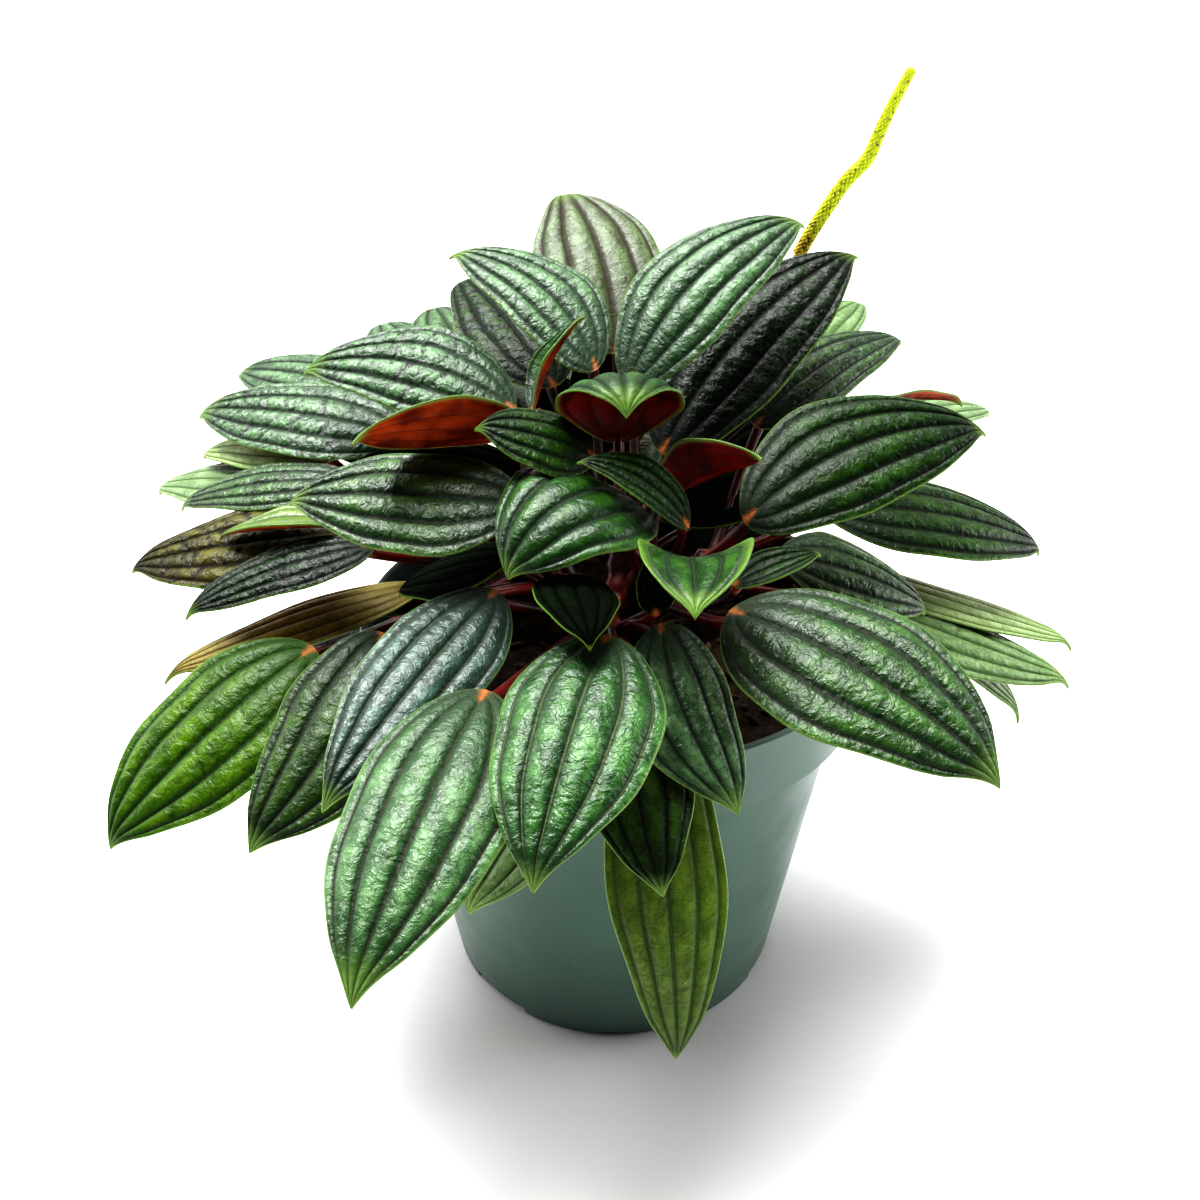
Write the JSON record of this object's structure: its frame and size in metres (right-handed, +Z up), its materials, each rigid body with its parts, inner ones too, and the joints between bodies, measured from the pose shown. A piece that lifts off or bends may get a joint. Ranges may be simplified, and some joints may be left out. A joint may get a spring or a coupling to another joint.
{
  "type": "potted ripple peperomia",
  "caption": "Potted ripple peperomia: a low mound of deeply ribbed, pointed leaves on red stalks, with a slim upright flower spike, in a round tapered nursery pot filled with soil.",
  "frame": {"origin": "middle of the pot's underside, where the pot stands", "axes": "+Z up along the pot's axis; the plant's front, with its biggest leaves hanging over the rim, faces -Y; the flower spike leans to +X and stands towards +Y"},
  "size_m": [0.2152, 0.2065, 0.1897],
  "materials": {
    "pot": "satin",
    "soil": "matte",
    "stems": "satin",
    "spike": "matte",
    "leaf": "satin",
    "young_leaf": "satin"
  },
  "bodies": {
    "root": {"pot": "pot", "soil": "soil", "stems": "stems", "flower_spike": "spike", "leaf_front_1": "leaf", "leaf_front_2": "leaf", "leaf_front_3": "leaf", "leaf_front_4": "leaf", "leaf_front_5": "leaf", "leaf_front_6": "leaf", "leaf_front_7": "leaf", "leaf_front_8": "leaf", "leaf_front_9": "leaf", "leaf_left_1": "leaf", "leaf_left_2": "leaf", "leaf_left_3": "leaf", "leaf_left_4": "leaf", "leaf_left_5": "leaf", "leaf_left_6": "leaf", "leaf_left_7": "leaf", "leaf_left_8": "leaf", "leaf_left_9": "leaf", "leaf_left_10": "leaf", "leaf_left_11": "leaf", "leaf_left_12": "leaf", "leaf_left_13": "leaf", "leaf_back_1": "leaf", "leaf_back_2": "leaf", "leaf_back_3": "leaf", "leaf_back_4": "leaf", "leaf_back_5": "leaf", "leaf_right_1": "leaf", "leaf_right_2": "leaf", "leaf_right_3": "leaf", "leaf_right_4": "leaf", "leaf_right_5": "leaf", "leaf_right_6": "leaf", "leaf_right_7": "leaf", "leaf_right_8": "leaf", "leaf_right_9": "leaf", "leaf_right_10": "leaf", "leaf_right_11": "leaf", "leaf_right_12": "leaf", "leaf_young_1": "young_leaf", "leaf_young_2": "young_leaf", "leaf_young_3": "young_leaf", "leaf_young_4": "young_leaf", "leaf_young_5": "young_leaf", "leaf_young_6": "young_leaf", "leaf_young_7": "young_leaf", "leaf_young_8": "young_leaf", "leaf_young_9": "young_leaf", "leaf_young_10": "young_leaf", "leaf_young_11": "young_leaf", "leaf_low_1": "leaf", "leaf_low_2": "leaf", "leaf_low_3": "leaf", "leaf_low_4": "leaf", "leaf_low_5": "leaf", "leaf_low_6": "leaf"}
  },
  "joints": []
}
